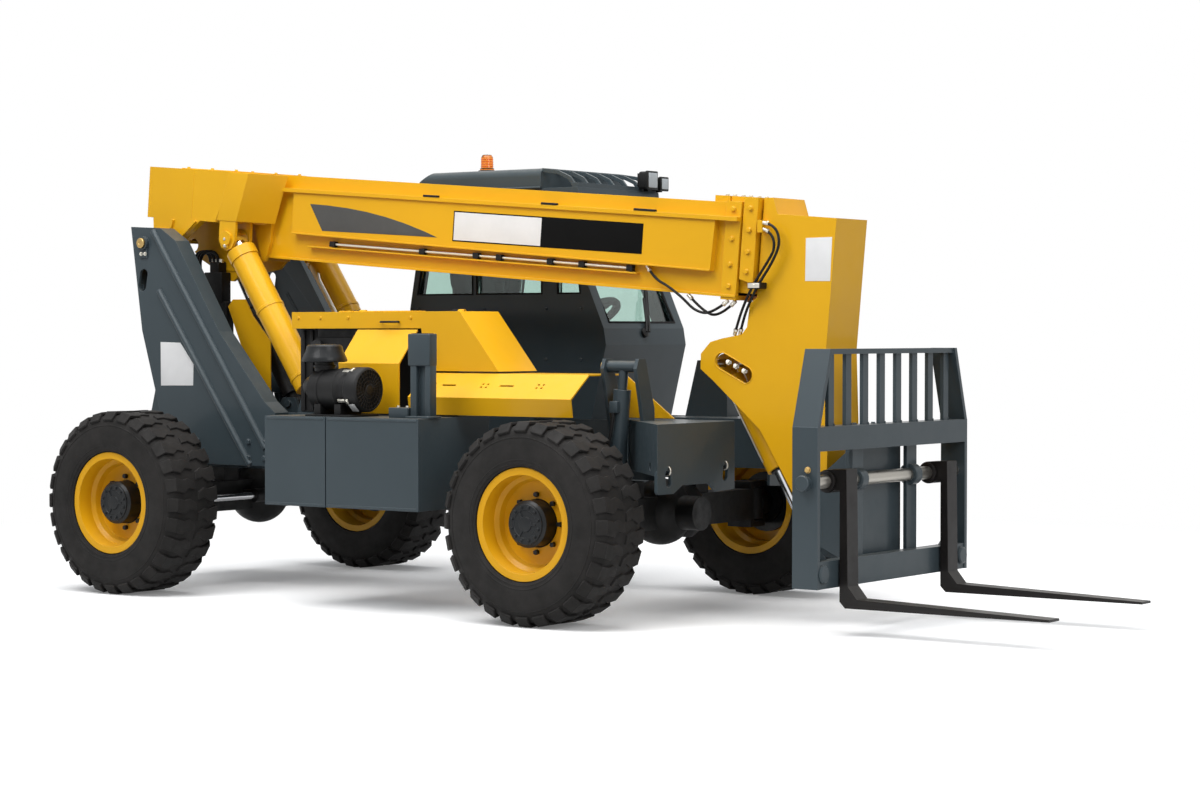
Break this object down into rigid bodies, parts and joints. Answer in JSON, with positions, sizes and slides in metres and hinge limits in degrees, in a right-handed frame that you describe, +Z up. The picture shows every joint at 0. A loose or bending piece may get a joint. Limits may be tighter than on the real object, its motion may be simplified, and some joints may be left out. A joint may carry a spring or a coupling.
{
  "type": "telehandler",
  "caption": "Compact rigid-frame telehandler with a side cab, telescopic boom, tilting fork carriage and four steered off-road wheels.",
  "frame": {"origin": "on the ground under the middle of the machine's overall length and width", "axes": "+X forward to the fork tips, +Y to the machine's left, +Z up"},
  "size_m": [5.94, 2.44, 2.4854],
  "materials": {
    "yellow_paint": "machine yellow gloss paint",
    "rim_paint": "wheel yellow gloss paint",
    "grey_paint": "blue-grey gloss paint",
    "black_paint": "black axle paint",
    "tyre_rubber": "black tyre rubber",
    "black_plastic": "black moulded plastic",
    "lamp_black": "black lamp housing",
    "amber_lens": "amber beacon lens",
    "engine_iron": "dark painted iron",
    "fork_steel": "black forged steel",
    "chrome_rod": "hard chrome",
    "cab_glass": "tinted safety glass",
    "seat_vinyl": "black vinyl",
    "hose_rubber": "black hose"
  },
  "bodies": {
    "chassis": {"chassis_frame": "grey_paint", "cross_members": "grey_paint", "upright_left": "grey_paint", "upright_right": "grey_paint", "counterweight": "grey_paint", "lift_feet": "grey_paint", "side_box": "grey_paint", "fuel_tank": "grey_paint", "engine": "engine_iron", "engine_cowl": "yellow_paint", "air_cleaner": "black_plastic", "exhaust_stack": "grey_paint", "cab_shell": "grey_paint", "cab_roof": "grey_paint", "cab_glass": "cab_glass", "seat": "seat_vinyl", "cab_controls": "black_plastic", "roof_lamps": "lamp_black", "beacon": "amber_lens", "front_axle": "black_paint", "rear_axle": "black_paint", "level_cylinder": "grey_paint"},
    "hood": {"engine_hood": "yellow_paint"},
    "door": {"cab_door": "grey_paint", "cab_door_glass": "cab_glass"},
    "knuckle_fl": {"knuckle_fl": "black_paint"},
    "wheel_fl": {"tyre_fl": "tyre_rubber", "rim_fl": "rim_paint", "hub_fl": "black_paint"},
    "knuckle_fr": {"knuckle_fr": "black_paint"},
    "wheel_fr": {"tyre_fr": "tyre_rubber", "rim_fr": "rim_paint", "hub_fr": "black_paint"},
    "knuckle_rl": {"knuckle_rl": "black_paint"},
    "wheel_rl": {"tyre_rl": "tyre_rubber", "rim_rl": "rim_paint", "hub_rl": "black_paint"},
    "knuckle_rr": {"knuckle_rr": "black_paint"},
    "wheel_rr": {"tyre_rr": "tyre_rubber", "rim_rr": "rim_paint", "hub_rr": "black_paint"},
    "steer_link_front": {"steer_link_front": "chrome_rod"},
    "steer_link_rear": {"steer_link_rear": "chrome_rod"},
    "boom_outer": {"boom_outer": "yellow_paint", "hose_boom_lower": "hose_rubber", "hose_boom_upper": "hose_rubber"},
    "boom_mid": {"boom_mid": "yellow_paint"},
    "boom_inner": {"boom_inner": "yellow_paint", "hose_head_inner": "hose_rubber", "hose_head_outer": "hose_rubber"},
    "lift_barrels": {"lift_barrels": "yellow_paint"},
    "lift_rods": {"lift_rods": "chrome_rod"},
    "slave_barrel": {"slave_barrel": "black_paint"},
    "slave_rod": {"slave_rod": "chrome_rod"},
    "carriage": {"carriage": "grey_paint", "coupler": "yellow_paint"},
    "tilt_barrel": {"tilt_barrel": "yellow_paint"},
    "tilt_rod": {"tilt_rod": "chrome_rod"},
    "fork_left": {"fork_left": "fork_steel"},
    "fork_right": {"fork_right": "fork_steel"}
  },
  "joints": [
    {"name": "steer_fl", "type": "hinge", "parent": "chassis", "child": "knuckle_fl", "pos_m": [0.45, 0.9, 0.508], "axis": [0, 0, 1], "range_deg": [-24, 24]},
    {"name": "spin_fl", "type": "hinge", "parent": "knuckle_fl", "child": "wheel_fl", "pos_m": [0.45, 1.028, 0.508], "axis": [0, 1, 0], "continuous": true},
    {"name": "steer_fr", "type": "hinge", "parent": "chassis", "child": "knuckle_fr", "pos_m": [0.45, -0.9, 0.508], "axis": [0, 0, 1], "range_deg": [-24, 24]},
    {"name": "spin_fr", "type": "hinge", "parent": "knuckle_fr", "child": "wheel_fr", "pos_m": [0.45, -1.028, 0.508], "axis": [0, 1, 0], "continuous": true},
    {"name": "steer_rl", "type": "hinge", "parent": "chassis", "child": "knuckle_rl", "pos_m": [-2.415, 0.9, 0.508], "axis": [0, 0, 1], "range_deg": [-24, 24]},
    {"name": "spin_rl", "type": "hinge", "parent": "knuckle_rl", "child": "wheel_rl", "pos_m": [-2.415, 1.028, 0.508], "axis": [0, 1, 0], "continuous": true},
    {"name": "steer_rr", "type": "hinge", "parent": "chassis", "child": "knuckle_rr", "pos_m": [-2.415, -0.9, 0.508], "axis": [0, 0, 1], "range_deg": [-24, 24]},
    {"name": "spin_rr", "type": "hinge", "parent": "knuckle_rr", "child": "wheel_rr", "pos_m": [-2.415, -1.028, 0.508], "axis": [0, 1, 0], "continuous": true},
    {"name": "steer_slide_front", "type": "slide", "parent": "chassis", "child": "steer_link_front", "axis": [0, 1, 0], "range_m": [-0.07, 0.07]},
    {"name": "steer_slide_rear", "type": "slide", "parent": "chassis", "child": "steer_link_rear", "axis": [0, 1, 0], "range_m": [-0.07, 0.07]},
    {"name": "hood_hinge", "type": "hinge", "parent": "chassis", "child": "hood", "pos_m": [-0.85, -0.31, 1.56], "axis": [-1, 0, 0], "range_deg": [0, 70]},
    {"name": "door_hinge", "type": "hinge", "parent": "chassis", "child": "door", "pos_m": [-1.418, 1.096, 1.5], "axis": [0, 0, 1], "range_deg": [0, 90]},
    {"name": "boom_lift", "type": "hinge", "parent": "chassis", "child": "boom_outer", "pos_m": [-2.8, 0, 1.965], "axis": [0, -1, 0], "range_deg": [0, 72]},
    {"name": "boom_extend_mid", "type": "slide", "parent": "boom_outer", "child": "boom_mid", "axis": [0.9968, 0, -0.0793], "range_m": [0, 2.1]},
    {"name": "boom_extend_inner", "type": "slide", "parent": "boom_mid", "child": "boom_inner", "axis": [0.9968, 0, -0.0793], "range_m": [0, 2.1]},
    {"name": "lift_barrel_swing", "type": "hinge", "parent": "chassis", "child": "lift_barrels", "pos_m": [-1.67, 0, 1.06], "axis": [0, -1, 0], "range_deg": [-2, 3]},
    {"name": "lift_rod_slide", "type": "slide", "parent": "lift_barrels", "child": "lift_rods", "axis": [-0.5596, 0, 0.8287], "range_m": [0, 0.62]},
    {"name": "slave_barrel_swing", "type": "hinge", "parent": "chassis", "child": "slave_barrel", "pos_m": [-2.05, 0, 1.04], "axis": [0, -1, 0], "range_deg": [-12, 2]},
    {"name": "slave_rod_slide", "type": "slide", "parent": "slave_barrel", "child": "slave_rod", "axis": [-0.5095, 0, 0.8605], "range_m": [0, 0.4]},
    {"name": "carriage_tilt", "type": "hinge", "parent": "boom_inner", "child": "carriage", "pos_m": [1.47, 0, 0.55], "axis": [0, 1, 0], "range_deg": [-12, 80]},
    {"name": "tilt_barrel_swing", "type": "hinge", "parent": "boom_inner", "child": "tilt_barrel", "pos_m": [0.87, 0, 1.29], "axis": [0, 1, 0], "range_deg": [-3, 4]},
    {"name": "tilt_rod_slide", "type": "slide", "parent": "tilt_barrel", "child": "tilt_rod", "axis": [0.5003, 0, -0.8659], "range_m": [-0.24, 0.05]},
    {"name": "fork_slide_left", "type": "slide", "parent": "carriage", "child": "fork_left", "axis": [0, 1, 0], "range_m": [-0.12, 0.12]},
    {"name": "fork_slide_right", "type": "slide", "parent": "carriage", "child": "fork_right", "axis": [0, 1, 0], "range_m": [-0.12, 0.12]}
  ],
  "couplings": [
    {"joint": "steer_fr", "follows": "steer_fl", "ratio": 1},
    {"joint": "steer_slide_front", "follows": "steer_fl", "m_per_rad": -0.165},
    {"joint": "steer_rr", "follows": "steer_rl", "ratio": 1},
    {"joint": "steer_slide_rear", "follows": "steer_rl", "m_per_rad": 0.165},
    {"joint": "boom_extend_inner", "follows": "boom_extend_mid", "ratio": 1},
    {"joint": "lift_barrel_swing", "follows": "boom_lift", "ratio": 0.0215},
    {"joint": "lift_rod_slide", "follows": "boom_lift", "m_per_rad": 0.471},
    {"joint": "slave_barrel_swing", "follows": "boom_lift", "ratio": -0.10118},
    {"joint": "slave_rod_slide", "follows": "boom_lift", "m_per_rad": 0.30197},
    {"joint": "tilt_barrel_swing", "follows": "carriage_tilt", "ratio": -0.02328},
    {"joint": "tilt_rod_slide", "follows": "carriage_tilt", "m_per_rad": -0.16331}
  ]
}
